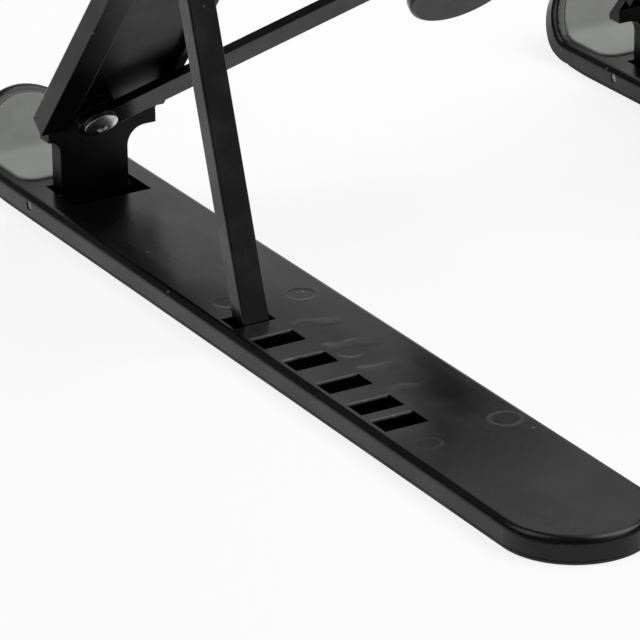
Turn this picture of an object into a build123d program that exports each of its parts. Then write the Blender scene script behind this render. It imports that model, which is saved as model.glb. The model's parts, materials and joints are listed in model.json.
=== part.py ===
from build123d import *
from math import atan2, cos, hypot, radians, sin, sqrt, tan
import os

# Folding laptop stand: two base rails, each with a hinged arm and a prop strut, joined by a scissor
# of two cross links. Millimetres, +Z up, -Y towards the user, right side at +X. The origin is the
# middle of the footprint on the table. Values called V run up along an arm from its hinge, and
# values called W stand square to the arm from the hinge, positive on the laptop's side.

# Base rails
HINGE_FROM_REAR = 189.5
RAIL_WIDTH = 28.0
RAIL_SPACING = 139.6
RAIL_THICKNESS = 4.2
RAIL_EDGE_ROUND = 1.5
FOOT_THICKNESS = 0.8
FOOT_INSET = 0.05
FOOT_CORNER = 4.0

# Height slots, as distances from the rear end of the rail to the front edge of each slot
SLOT_FRONT_EDGES = (114.4, 103.2, 91.5, 79.5, 68.6, 60.4)
SLOT_LENGTH = 5.3
SLOT_INNER_U = 3.2
SLOT_OUTER_U = 12.1

# Front end, bent up as a round tongue that stops the laptop, and the grey pad inside the bend
FOLD_FROM_HINGE = 21.5
TONGUE_ANGLE = 48.0
TONGUE_LENGTH = 15.6
TONGUE_ROUND_FROM = -1.2
BEND_R = 6.0
PAD_FROM_WINDOW = 3.6
PAD_MARGIN = 2.4
PAD_CORNER = 4.0
PAD_THICKNESS = 1.2
PAD_RECESS = 0.7
PAD_GAP = 0.15

# Hinge of the arm in the rail's window
HINGE_PIN_R = 1.0
HINGE_PIN_INSET = 0.2
WINDOW_FRONT = 3.0
WINDOW_REAR = 9.4
WINDOW_SIDE_GAP = 1.2
NECK_WIDTH = 15.0
NECK_THICKNESS = 3.8
NECK_FLARE = 4.0
NECK_SHOULDER = 10.0
NECK_SHOULDER_FLARE = 2.2
NECK_RISE = 12.95
RUNNING_GAP = 0.05
PRESS_GAP = 0.01
OVERCUT = 1.0
MATCH = 0.01

# Arms: shallow channels, open below, at their working angle
ARM_ANGLE = 50.0
ARM_REACH = 207.0
ARM_WALL_START = 17.3
ARM_EDGE_W = 5.7
ARM_DEPTH = 4.9
ARM_PLATE = 1.8
ARM_WALL = 2.0
ARM_RIM = 6.0
ARM_RIM_END = 80.0
ARM_INNER_LIFT = 1.5
ARM_EDGE_ROUND = 0.8
ARM_PAD_LENGTH = 40.0
ARM_PAD_MARGIN = 2.2
ARM_PAD_THICKNESS = 1.2
ARM_PAD_RECESS = 0.7

# Prop struts
STRUT_V = 92.9
STRUT_INNER_U = 4.4
STRUT_WIDTH = 5.65
STRUT_THICKNESS = 4.2
STRUT_FLOOR_GAP = 0.1
STRUT_EDGE_ROUND = 0.4
STRUT_PIN_R = 0.8
STRUT_SIDE_GAP = 0.3
STRUT_AIM = 0.557
TOE_GAP = 0.12
EAR_WIDTH = 1.2
EAR_R = 2.2

# Scissor of two flat links, one layer below the other
LINK_ANGLE = 32.0
LINK_WIDTH = 7.0
LINK_THICKNESS = 1.7
LINK_LOWER_EYE_R = 4.6
LINK_UPPER_EYE_R = 2.6
LINK_TOP_W = 6.7
LINK_LAYER_GAP = 0.1
HUB_R = 13.0
HUB_BOSS = 1.1
HUB_LOBE_R = 12.2
HUB_LOBE_DROP = 14.0
HUB_EDGE_ROUND = 0.8
RIVET_U = 1.6
RIVET_V = 18.8
RIVET_R = 1.5
RIVET_HEAD_R = 3.5
RIVET_HEAD = 1.2
RIVET_RIM = 0.4
RIVET_WAIST = 0.6
RIVET_DOME = 0.7
RIVET_DIMPLE_R = 1.1
RIVET_DIMPLE = 0.35
RIVET_TAIL_R = 2.6
RIVET_TAIL = 0.7
BOSS_R = 4.6
SEAT_GAP = 0.1
CENTRE_RIVET_R = 2.0
CENTRE_HEAD_R = 4.5
CENTRE_PEEN = 0.3

# Sliding shoes at the upper ends of the links, in a track under each arm
SHOE_LENGTH = 9.0
SHOE_HALF_WIDTH = 1.8
SHOE_FLANGE = 0.8
SHOE_STUD_R = 1.45
SHOE_RIVET_R = 0.8
SHOE_HEAD_R = 2.5
SHOE_HEAD = 0.9
TRACK_GAP = 0.2
TRACK_LIP = 0.6
TRACK_RIB = 0.6
TRACK_START = 102.0
TRACK_END = 192.0

# Places that follow from the sizes above
RAIL_TOP = FOOT_THICKNESS + RAIL_THICKNESS
TONGUE_COS = cos(radians(TONGUE_ANGLE))
TONGUE_SIN = sin(radians(TONGUE_ANGLE))
BEND_RUN = BEND_R * tan(radians(TONGUE_ANGLE / 2))
TONGUE_OUT = TONGUE_LENGTH * TONGUE_COS + RAIL_THICKNESS * TONGUE_SIN
RAIL_LENGTH = HINGE_FROM_REAR + FOLD_FROM_HINGE + TONGUE_OUT
REAR_Y = RAIL_LENGTH / 2
HINGE_Y = REAR_Y - HINGE_FROM_REAR
FOLD_Y = HINGE_Y - FOLD_FROM_HINGE
BEND_Y = FOLD_Y + BEND_RUN
PAD_REAR_Y = HINGE_Y - WINDOW_FRONT - PAD_FROM_WINDOW
HINGE_Z = FOOT_THICKNESS + RAIL_THICKNESS / 2
ARM_COS = cos(radians(ARM_ANGLE))
ARM_SIN = sin(radians(ARM_ANGLE))
FLOOR_W = ARM_EDGE_W + ARM_DEPTH - ARM_PLATE
ARM_TOP_W = ARM_EDGE_W + ARM_DEPTH
STRUT_W = FLOOR_W - STRUT_THICKNESS / 2 - STRUT_FLOOR_GAP
STRUT_Y = HINGE_Y + STRUT_V * ARM_COS - STRUT_W * ARM_SIN
STRUT_Z = HINGE_Z + STRUT_V * ARM_SIN + STRUT_W * ARM_COS
SLOT_REAR_Y = REAR_Y - SLOT_FRONT_EDGES[0] + SLOT_LENGTH
STRUT_AIM_Y = SLOT_REAR_Y - SLOT_LENGTH * (1 - STRUT_AIM)
STRUT_SLOPE = atan2(STRUT_Z - RAIL_TOP, STRUT_AIM_Y - STRUT_Y)
TOE_RADIUS = hypot(SLOT_REAR_Y - STRUT_Y, STRUT_Z - RAIL_TOP) - TOE_GAP
STRUT_LENGTH = sqrt(TOE_RADIUS**2 - (STRUT_THICKNESS / 2) ** 2)
RIVET_X = RAIL_SPACING / 2 + RIVET_U
LINK_HALF = RIVET_X / cos(radians(LINK_ANGLE))
CROSS_V = RIVET_V + LINK_HALF * sin(radians(LINK_ANGLE))
SLIDE_V = RIVET_V + 2 * LINK_HALF * sin(radians(LINK_ANGLE))
LOWER_LINK_TOP_W = LINK_TOP_W - LINK_THICKNESS - LINK_LAYER_GAP
SHOE_FLANGE_TOP_W = FLOOR_W - TRACK_GAP / 2
TRACK_LIP_TOP_W = SHOE_FLANGE_TOP_W - SHOE_FLANGE - TRACK_GAP / 2

RIGHT = 1
LEFT = -1


def span_box(low, high):
    """Box between two opposite corners."""
    size = [b - a for a, b in zip(low, high)]
    centre = [(a + b) / 2 for a, b in zip(low, high)]
    return Pos(*centre) * Box(*[abs(value) for value in size])


def rail_outline(inset, front_y):
    """Outline of a rail seen from above: a round rear end and a straight front edge."""
    centre_y = REAR_Y - RAIL_WIDTH / 2
    width = RAIL_WIDTH - 2 * inset
    bar = Pos(0, (front_y + centre_y) / 2) * Rectangle(width, centre_y - front_y)
    return bar + Pos(0, centre_y) * Circle(width / 2)


def bent_strip(low, high, rear_y, width):
    """Strip along the rail's upper skin and up the tongue, between two heights over the skin."""
    centre = Vector(BEND_Y, RAIL_TOP + BEND_R)
    spoke = Vector(-TONGUE_SIN, -TONGUE_COS)
    half_spoke = Vector(-sin(radians(TONGUE_ANGLE / 2)), -cos(radians(TONGUE_ANGLE / 2)))
    rise = Vector(-TONGUE_COS, TONGUE_SIN) * (TONGUE_LENGTH - BEND_RUN)
    outer = BEND_R - low
    inner = BEND_R - high
    under_start = Vector(BEND_Y, RAIL_TOP + low)
    upper_start = Vector(BEND_Y, RAIL_TOP + high)
    under = Line((rear_y, RAIL_TOP + low), under_start)
    tip_under = centre + spoke * outer
    tip_upper = centre + spoke * inner
    under += ThreePointArc(under_start, centre + half_spoke * outer, tip_under)
    tip = Polyline(tip_under, tip_under + rise, tip_upper + rise, tip_upper)
    upper = ThreePointArc(tip_upper, centre + half_spoke * inner, upper_start)
    upper += Polyline(upper_start, (rear_y, RAIL_TOP + high), (rear_y, RAIL_TOP + low))
    section = make_face(Plane.YZ * (under + tip + upper))
    return extrude(section, width / 2, both=True)


def tongue_corners(inset):
    """Waste outside the tongue's round end, with the end drawn in by an inset."""
    run = TONGUE_LENGTH - TONGUE_ROUND_FROM
    frame = Rectangle(2 * RAIL_WIDTH, 2 * run + 2 * OVERCUT)
    frame -= Ellipse(RAIL_WIDTH / 2 - inset, run - inset)
    frame &= Pos(0, run) * Rectangle(2 * RAIL_WIDTH, 2 * run)
    start = (0, FOLD_Y - TONGUE_ROUND_FROM * TONGUE_COS, RAIL_TOP + TONGUE_ROUND_FROM * TONGUE_SIN)
    plane = Plane(origin=start, x_dir=(1, 0, 0), z_dir=(0, -TONGUE_SIN, -TONGUE_COS))
    return extrude(plane * frame, RAIL_THICKNESS + OVERCUT, both=True)


def border(faces):
    """Edges that belong to only one of some neighbouring faces."""
    edges = [edge for face in faces for edge in face.edges()]
    return [edge for edge in edges if sum(edge.is_same(other) for other in edges) == 1]


def upper_skin(solid):
    """Flat face, bend and tongue face on the upper side of a rail."""
    rounds = solid.faces().filter_by(GeomType.CYLINDER)
    bend = [face for face in rounds if abs(face.radius - BEND_R) < MATCH]
    skins = []
    for normal in (Vector(0, 0, 1), Vector(0, TONGUE_SIN, TONGUE_COS)):
        planes = solid.faces().filter_by(GeomType.PLANE)
        skins += [face for face in planes if (face.normal_at() - normal).length < MATCH]
    return skins + bend


def rail_place(side):
    """Middle of a rail on the table."""
    return Pos(side * RAIL_SPACING / 2, 0, 0)


def arm_plane(x):
    """Plane of the arms: local Y runs up the arm, local Z points to the laptop's side."""
    return Plane(origin=(x, HINGE_Y, HINGE_Z), x_dir=(1, 0, 0), z_dir=(0, -ARM_SIN, ARM_COS))


def disc(radius, low, high, u=0.0, v=0.0):
    """Upright cylinder between two heights."""
    return Pos(u, v, (low + high) / 2) * Cylinder(radius, high - low)


def cross_pin(radius, u_low, u_high, v, w):
    """Cylinder along X between two places."""
    return Pos((u_low + u_high) / 2, v, w) * Rot(0, 90, 0) * Cylinder(radius, abs(u_high - u_low))


def rivet_head(radius, height):
    """Low domed head with a dimple, seat at zero, crown pointing down."""
    rim = Line((0, 0), (radius, 0)) + Line((radius, 0), (radius, -RIVET_RIM))
    shoulder = -RIVET_RIM - (height - RIVET_RIM) * RIVET_DOME
    crown = ThreePointArc((radius, -RIVET_RIM), (radius * RIVET_WAIST, shoulder), (0, -height))
    section = make_face(Plane.XZ * (rim + crown + Line((0, -height), (0, 0))))
    head = revolve(section, Axis.Z, 360)
    return head - disc(RIVET_DIMPLE_R, -height - RIVET_DIMPLE, -height + RIVET_DIMPLE)


def pad_strip(low, high, gap):
    """Part of the skin that the front pad covers, between two heights over it."""
    strip = bent_strip(low, high, PAD_REAR_Y - gap, RAIL_WIDTH - 2 * PAD_MARGIN - 2 * gap)
    corners = strip.edges().filter_by(Axis.Z).filter_by(lambda edge: edge.center().Y > BEND_Y)
    strip = fillet(corners, PAD_CORNER)
    return strip - tongue_corners(PAD_MARGIN + gap)


def base_rail(side):
    """Rail with its bent-up tongue, height slots, hinge window, pin bore and pad recess."""
    strip = bent_strip(-RAIL_THICKNESS, 0, REAR_Y, RAIL_WIDTH) - tongue_corners(0)
    rail = strip & extrude(rail_outline(0, FOLD_Y - RAIL_LENGTH), RAIL_LENGTH)
    rail = fillet(border(upper_skin(rail)), RAIL_EDGE_ROUND)
    rail -= pad_strip(-PAD_RECESS, BEND_R / 2, 0)
    for front_edge in SLOT_FRONT_EDGES:
        slot_y = REAR_Y - front_edge
        low = (side * SLOT_INNER_U, slot_y, 0)
        rail -= span_box(low, (side * SLOT_OUTER_U, slot_y + SLOT_LENGTH, RAIL_TOP + OVERCUT))
    half = NECK_WIDTH / 2 + WINDOW_SIDE_GAP
    window_front = (-half, HINGE_Y - WINDOW_FRONT, 0)
    rail -= span_box(window_front, (half, HINGE_Y + WINDOW_REAR, RAIL_TOP + OVERCUT))
    rail -= cross_pin(HINGE_PIN_R + PRESS_GAP, -RAIL_WIDTH, RAIL_WIDTH, HINGE_Y, HINGE_Z)
    return rail_place(side) * rail


def foot_strip(side):
    """Rubber strip under the flat part of the rail."""
    outline = rail_outline(FOOT_INSET, BEND_Y)
    corners = outline.vertices().filter_by(lambda vertex: abs(vertex.Y - BEND_Y) < MATCH)
    return rail_place(side) * extrude(fillet(corners, FOOT_CORNER), FOOT_THICKNESS)


def front_pad(side):
    """Grey pad in its recess along the bend."""
    return rail_place(side) * pad_strip(-PAD_RECESS, PAD_THICKNESS - PAD_RECESS, PAD_GAP)


def hinge_pin(side):
    """Steel pin across the rail's window."""
    half = RAIL_WIDTH / 2 - HINGE_PIN_INSET
    return rail_place(side) * cross_pin(HINGE_PIN_R, -half, half, HINGE_Y, HINGE_Z)


def arm_outline(inset=0.0):
    """Plan of an arm from its shoulder to its round upper end."""
    end_v = ARM_REACH - RAIL_WIDTH / 2
    start_v = NECK_RISE * ARM_SIN + inset
    bar = Pos(0, (start_v + end_v) / 2) * Rectangle(RAIL_WIDTH - 2 * inset, end_v - start_v)
    return bar + Pos(0, end_v) * Circle(RAIL_WIDTH / 2 - inset)


def arm_pad_outline(gap):
    """Outline of the pad on the arm's upper end."""
    low_v = ARM_REACH - ARM_PAD_LENGTH + gap
    field = arm_outline(ARM_PAD_MARGIN + gap)
    shape = field & Pos(0, low_v + ARM_REACH / 2) * Rectangle(RAIL_WIDTH, ARM_REACH)
    corners = shape.vertices().filter_by(lambda vertex: abs(vertex.Y - low_v) < MATCH)
    return fillet(corners, PAD_CORNER)


def arm_neck(side):
    """Upright neck below the arm, flared at the top, with a barrel on the pin."""
    half = NECK_WIDTH / 2
    inner = RAIL_WIDTH / 2
    outer = NECK_SHOULDER
    top = NECK_RISE + ARM_DEPTH + NECK_THICKNESS
    corners = [(half, 0), (half, NECK_RISE), (outer, NECK_RISE), (outer, top)]
    corners += [(-inner, top), (-inner, NECK_RISE), (-half, NECK_RISE), (-half, 0)]
    tee = make_face(Polyline(*[(side * u, rise) for u, rise in corners], close=True))
    for u, flare in ((side * half, NECK_SHOULDER_FLARE), (-side * half, NECK_FLARE)):
        bend = tee.vertices().sort_by_distance(Vector(u, NECK_RISE))[0]
        tee = fillet(bend, flare)
    upright = Plane(origin=(0, HINGE_Y, HINGE_Z), x_dir=(1, 0, 0), z_dir=(0, -1, 0))
    neck = extrude(upright * tee, NECK_THICKNESS / 2, both=True)
    return neck + cross_pin(NECK_THICKNESS / 2, -half, half, HINGE_Y, HINGE_Z)


def slide_track(side):
    """Pair of lipped ribs under the arm that hold the sliding shoe."""
    inner = SHOE_HALF_WIDTH + TRACK_GAP
    outer = inner + TRACK_RIB
    mouth = SHOE_STUD_R + TRACK_GAP
    low = TRACK_LIP_TOP_W - TRACK_LIP
    centre = side * RIVET_U
    root = FLOOR_W + ARM_PLATE / 2
    track = span_box((centre - outer, TRACK_START, low), (centre + outer, TRACK_END, root))
    groove_start = (centre - inner, TRACK_START, TRACK_LIP_TOP_W)
    track -= span_box(groove_start, (centre + inner, TRACK_END, FLOOR_W))
    return track - span_box((centre - mouth, TRACK_START, low), (centre + mouth, TRACK_END, FLOOR_W))


def arm_shell(side):
    """Channel of an arm, with a wide rim outside and a low wall inside."""
    shell = extrude(Pos(0, 0, ARM_EDGE_W) * arm_outline(), ARM_DEPTH)
    top_edges = shell.faces().sort_by(Axis.Z)[-1].edges()
    shell = fillet(top_edges.filter_by(lambda edge: edge.center().Y > ARM_WALL_START), ARM_EDGE_ROUND)
    shell -= extrude(Pos(0, 0, ARM_EDGE_W) * arm_outline(ARM_WALL), ARM_DEPTH - ARM_PLATE)
    rim_start = (side * (RAIL_WIDTH / 2 - ARM_RIM), ARM_WALL_START, ARM_EDGE_W)
    shell += span_box(rim_start, (side * (RAIL_WIDTH / 2 - ARM_WALL / 2), ARM_RIM_END, FLOOR_W))
    shell -= span_box((-RAIL_WIDTH, 0, 0), (RAIL_WIDTH, ARM_WALL_START, FLOOR_W))
    shoulder = (side * NECK_SHOULDER, 0, 0)
    shell -= span_box(shoulder, (side * RAIL_WIDTH, ARM_WALL_START, ARM_TOP_W + OVERCUT))
    inner_wall_end = (-side * ARM_WALL, ARM_REACH + OVERCUT, ARM_EDGE_W + ARM_INNER_LIFT)
    return shell - span_box((-side * RAIL_WIDTH, 0, 0), inner_wall_end)


def arm(side, boss_end_w):
    """Channel arm with its neck, rivet boss, strut ear and slide track."""
    root = FLOOR_W + ARM_PLATE / 2
    shell = arm_shell(side) + slide_track(side)
    shell += disc(BOSS_R, boss_end_w, root, side * RIVET_U, RIVET_V)
    ear_outer = side * (STRUT_INNER_U - STRUT_SIDE_GAP)
    ear_inner = ear_outer - side * EAR_WIDTH
    ear_start = (ear_inner, STRUT_V - EAR_R, STRUT_W)
    shell += span_box(ear_start, (ear_outer, STRUT_V + EAR_R, root))
    shell += cross_pin(EAR_R, ear_inner, ear_outer, STRUT_V, STRUT_W)
    pin_hole = STRUT_PIN_R + PRESS_GAP
    shell -= cross_pin(pin_hole, ear_inner - side * OVERCUT, side * RAIL_WIDTH, STRUT_V, STRUT_W)
    above = ARM_TOP_W + OVERCUT
    shell -= disc(RIVET_R + PRESS_GAP, 0, above, side * RIVET_U, RIVET_V)
    tail_seat = ARM_TOP_W - RIVET_TAIL
    shell -= disc(RIVET_TAIL_R + PRESS_GAP, tail_seat, above, side * RIVET_U, RIVET_V)
    shell -= extrude(Pos(0, 0, ARM_TOP_W - ARM_PAD_RECESS) * arm_pad_outline(0.0), ARM_DEPTH)
    below_top = Pos(0, 0, ARM_TOP_W - ARM_REACH / 2) * Box(ARM_REACH, ARM_REACH, ARM_REACH)
    whole = arm_plane(0) * shell + (arm_neck(side) & arm_plane(0) * below_top)
    whole -= cross_pin(HINGE_PIN_R + RUNNING_GAP, -RAIL_WIDTH, RAIL_WIDTH, HINGE_Y, HINGE_Z)
    return rail_place(side) * whole


def arm_pad(side):
    """Grey pad on the arm's upper end, where the laptop leans."""
    seat = Pos(0, 0, ARM_TOP_W - ARM_PAD_RECESS)
    pad = extrude(seat * arm_pad_outline(PAD_GAP), ARM_PAD_THICKNESS)
    return arm_plane(side * RAIL_SPACING / 2) * pad


def strut(side):
    """Prop strut from its eye under the arm down to its toe in the first slot."""
    bar = span_box((0, 0, -STRUT_THICKNESS / 2), (STRUT_WIDTH, STRUT_LENGTH, STRUT_THICKNESS / 2))
    bar = fillet(bar.edges().filter_by(Axis.Y), STRUT_EDGE_ROUND)
    eye_outer = RAIL_WIDTH / 2 - ARM_WALL - STRUT_SIDE_GAP - STRUT_INNER_U
    bar += cross_pin(STRUT_THICKNESS / 2, 0, eye_outer, 0, 0)
    bar -= cross_pin(STRUT_PIN_R + RUNNING_GAP, -OVERCUT, eye_outer + OVERCUT, 0, 0)
    if side == LEFT:
        bar = mirror(bar, about=Plane.YZ)
    x = side * (RAIL_SPACING / 2 + STRUT_INNER_U)
    square = (0, sin(STRUT_SLOPE), cos(STRUT_SLOPE))
    return Plane(origin=(x, STRUT_Y, STRUT_Z), x_dir=(1, 0, 0), z_dir=square) * bar


def strut_pin(side):
    """Steel pin through the strut's eye, from the ear to the arm's outer wall."""
    inner = side * (STRUT_INNER_U - STRUT_SIDE_GAP - EAR_WIDTH)
    outer = side * (RAIL_WIDTH / 2 - HINGE_PIN_INSET)
    return arm_plane(side * RAIL_SPACING / 2) * cross_pin(STRUT_PIN_R, inner, outer, STRUT_V, STRUT_W)


def cross_link(side, top_w, boss):
    """Flat link pinned low on one arm; the lower one has a hub with a round lobe hanging down."""
    turn = -LINK_ANGLE if side == RIGHT else 180 + LINK_ANGLE
    plan = Rectangle(2 * LINK_HALF, LINK_WIDTH) + Circle(HUB_R)
    plan += Pos(LINK_HALF, 0) * Circle(LINK_LOWER_EYE_R)
    plan += Pos(-LINK_HALF, 0) * Circle(LINK_UPPER_EYE_R)
    plan -= Pos(LINK_HALF, 0) * Circle(RIVET_R + RUNNING_GAP)
    plan -= Pos(-LINK_HALF, 0) * Circle(SHOE_STUD_R + RUNNING_GAP)
    link = extrude(Pos(0, 0, top_w - LINK_THICKNESS) * plan, LINK_THICKNESS)
    bore = CENTRE_RIVET_R + PRESS_GAP
    if boss:
        lobe = Pos(0, -HUB_LOBE_DROP) * Circle(HUB_LOBE_R) + Circle(HUB_LOBE_R)
        lobe += Pos(0, -HUB_LOBE_DROP / 2) * Rectangle(2 * HUB_LOBE_R, HUB_LOBE_DROP)
        face = Rot(0, 0, -turn) * Pos(0, 0, top_w - LINK_THICKNESS - boss)
        hub = extrude(face * lobe, boss + LINK_THICKNESS / 2)
        link += fillet(hub.faces().sort_by(Axis.Z)[0].edges(), HUB_EDGE_ROUND)
        bore = CENTRE_RIVET_R + RUNNING_GAP
    link -= disc(bore, top_w - LINK_THICKNESS - boss - OVERCUT, top_w + OVERCUT)
    return arm_plane(0) * Pos(0, CROSS_V, 0) * Rot(0, 0, turn) * link


def cross_rivet():
    """Rivet that joins the two links at their hubs."""
    low = LOWER_LINK_TOP_W - LINK_THICKNESS - HUB_BOSS - SEAT_GAP
    high = LINK_TOP_W
    shank = disc(CENTRE_RIVET_R, low, high)
    crown = disc(CENTRE_HEAD_R, high, high + CENTRE_PEEN)
    rivet = shank + crown + Pos(0, 0, low) * rivet_head(CENTRE_HEAD_R, RIVET_HEAD)
    return arm_plane(0) * Pos(0, CROSS_V, 0) * rivet


def link_rivet(side, link_top_w):
    """Steel rivet that pins a link low on its arm."""
    low = link_top_w - LINK_THICKNESS - SEAT_GAP
    shank = disc(RIVET_R, low, ARM_TOP_W)
    tail = disc(RIVET_TAIL_R, ARM_TOP_W - RIVET_TAIL, ARM_TOP_W)
    rivet = shank + tail + Pos(0, 0, low) * rivet_head(RIVET_HEAD_R, RIVET_HEAD)
    return arm_plane(side * RIVET_X) * Pos(0, RIVET_V, 0) * rivet


def slide_shoe(side, link_top_w):
    """Shoe that slides in the arm's track and carries a link's upper end on its stud."""
    stud_low = link_top_w - LINK_THICKNESS - SEAT_GAP
    half = SHOE_HALF_WIDTH
    flange_low = SHOE_FLANGE_TOP_W - SHOE_FLANGE
    flange_start = (-half, -SHOE_LENGTH / 2, flange_low)
    flange = span_box(flange_start, (half, SHOE_LENGTH / 2, SHOE_FLANGE_TOP_W))
    shoe = flange + disc(SHOE_STUD_R, stud_low, flange_low + SHOE_FLANGE / 2)
    shoe -= disc(SHOE_RIVET_R + PRESS_GAP, stud_low - OVERCUT, SHOE_FLANGE_TOP_W + OVERCUT)
    return arm_plane(side * RIVET_X) * Pos(0, SLIDE_V, 0) * shoe


def slide_rivet(side, link_top_w):
    """Small rivet that holds a link on the shoe's stud."""
    low = link_top_w - LINK_THICKNESS - SEAT_GAP
    shank = disc(SHOE_RIVET_R, low, SHOE_FLANGE_TOP_W)
    rivet = shank + Pos(0, 0, low) * rivet_head(SHOE_HEAD_R, SHOE_HEAD)
    return arm_plane(side * RIVET_X) * Pos(0, SLIDE_V, 0) * rivet


def side_pieces(side, name, own_top_w, other_top_w):
    """Every piece of one side, by node name."""
    return {
        f"{name}_base_rail": base_rail(side),
        f"{name}_foot_strip": foot_strip(side),
        f"{name}_front_pad": front_pad(side),
        f"{name}_hinge_pin": hinge_pin(side),
        f"{name}_arm": arm(side, own_top_w + SEAT_GAP),
        f"{name}_arm_pad": arm_pad(side),
        f"{name}_strut": strut(side),
        f"{name}_strut_pin": strut_pin(side),
        f"{name}_link_rivet": link_rivet(side, own_top_w),
        f"{name}_slide_shoe": slide_shoe(side, other_top_w),
        f"{name}_slide_rivet": slide_rivet(side, other_top_w),
    }


def build_pieces():
    """The whole stand."""
    pieces = side_pieces(RIGHT, "right", LINK_TOP_W, LOWER_LINK_TOP_W)
    pieces.update(side_pieces(LEFT, "left", LOWER_LINK_TOP_W, LINK_TOP_W))
    pieces["right_cross_link"] = cross_link(RIGHT, LINK_TOP_W, 0.0)
    pieces["left_cross_link"] = cross_link(LEFT, LOWER_LINK_TOP_W, HUB_BOSS)
    pieces["cross_rivet"] = cross_rivet()
    return pieces


os.makedirs("parts", exist_ok=True)
for node, solid in build_pieces().items():
    export_step(solid, f"parts/{node}.step")
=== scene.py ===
"""Looks of a folding laptop stand: black moulded rails, arms, props and links, grey pads, steel pins."""

import bpy
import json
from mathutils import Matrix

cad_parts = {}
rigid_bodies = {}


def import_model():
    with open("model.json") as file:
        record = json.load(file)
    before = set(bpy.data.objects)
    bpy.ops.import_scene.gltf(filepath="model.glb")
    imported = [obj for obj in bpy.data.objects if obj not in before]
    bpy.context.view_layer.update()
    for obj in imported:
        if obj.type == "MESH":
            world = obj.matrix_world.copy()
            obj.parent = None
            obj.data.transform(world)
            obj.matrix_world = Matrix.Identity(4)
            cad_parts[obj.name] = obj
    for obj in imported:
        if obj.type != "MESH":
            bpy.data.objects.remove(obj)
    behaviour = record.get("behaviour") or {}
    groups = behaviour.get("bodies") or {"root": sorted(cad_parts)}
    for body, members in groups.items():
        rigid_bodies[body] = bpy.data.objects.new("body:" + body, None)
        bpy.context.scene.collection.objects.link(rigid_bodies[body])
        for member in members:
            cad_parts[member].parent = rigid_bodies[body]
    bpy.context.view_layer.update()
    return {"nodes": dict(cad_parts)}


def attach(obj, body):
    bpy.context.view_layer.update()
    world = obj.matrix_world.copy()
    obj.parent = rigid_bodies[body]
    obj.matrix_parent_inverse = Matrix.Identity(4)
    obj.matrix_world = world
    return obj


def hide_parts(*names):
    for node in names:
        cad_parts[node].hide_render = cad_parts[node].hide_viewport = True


bpy.data.batch_remove(list(bpy.data.objects))
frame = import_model()

import json
import logging
import math
from dataclasses import dataclass
from enum import Enum

import bmesh
import numpy as np
from mathutils import Matrix, Vector

Pair = tuple[float, float]
Triple = tuple[float, float, float]
Colour = tuple[float, float, float, float]

log = logging.getLogger("stand")
MM = 0.001

# Middle and width of the rail and arm of a side, in millimetres.
SIDE_CENTRE = 69.8
SIDE_WIDTH = 28.0

# The band in which most of a noise lies.
NOISE_BAND = (0.3, 0.7)


class Side(Enum):
    """The two sides of the stand, with the sign of X on each."""

    RIGHT = 1
    LEFT = -1

    @property
    def word(self) -> str:
        """Prefix of this side's node and body names."""
        return self.name.lower()


class Slot(Enum):
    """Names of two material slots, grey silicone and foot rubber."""

    SILICONE = "grey_silicone"
    RUBBER = "foot_rubber"


class Value:
    """A socket in a shader graph; operators on it add Math nodes."""

    def __init__(self, graph: "Graph", socket: bpy.types.NodeSocket) -> None:
        """Keep the graph and the output socket.

        Args:
            graph: the graph that the socket is in.
            socket: an output of one of its nodes.
        """
        self.graph = graph
        self.socket = socket

    def _math(self, operation: str, first: object, second: object = 0.0) -> "Value":
        """Add one Math node.

        Args:
            operation: the node's operation.
            first: left operand, a value or a number.
            second: right operand, a value or a number.
        Returns:
            The node's result.
        """
        return self.graph.add("ShaderNodeMath", {"operation": operation}, {0: first, 1: second})

    def __add__(self, other: object) -> "Value":
        """Sum."""
        return self._math("ADD", self, other)

    __radd__ = __add__

    def __sub__(self, other: object) -> "Value":
        """Difference."""
        return self._math("SUBTRACT", self, other)

    def __rsub__(self, other: object) -> "Value":
        """Reflected difference."""
        return self._math("SUBTRACT", other, self)

    def __mul__(self, other: object) -> "Value":
        """Product."""
        return self._math("MULTIPLY", self, other)

    __rmul__ = __mul__

    def __pow__(self, other: object) -> "Value":
        """Power."""
        return self._math("POWER", self, other)

    def __abs__(self) -> "Value":
        """Absolute value."""
        return self._math("ABSOLUTE", self)

    def at_least(self, other: object) -> "Value":
        """The larger of this and another."""
        return self._math("MAXIMUM", self, other)

    def step(self, low: float, high: float, to_low: float = 0.0, to_high: float = 1.0) -> "Value":
        """Smooth step from one number to another.

        Args:
            low: input where the step starts.
            high: input where it ends.
            to_low: result before it.
            to_high: result after it.
        Returns:
            The stepped value.
        """
        ends = {"From Min": low, "From Max": high, "To Min": to_low, "To Max": to_high}
        settings = {"interpolation_type": "SMOOTHSTEP"}
        return self.graph.add("ShaderNodeMapRange", settings, {"Value": self, **ends})


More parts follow.
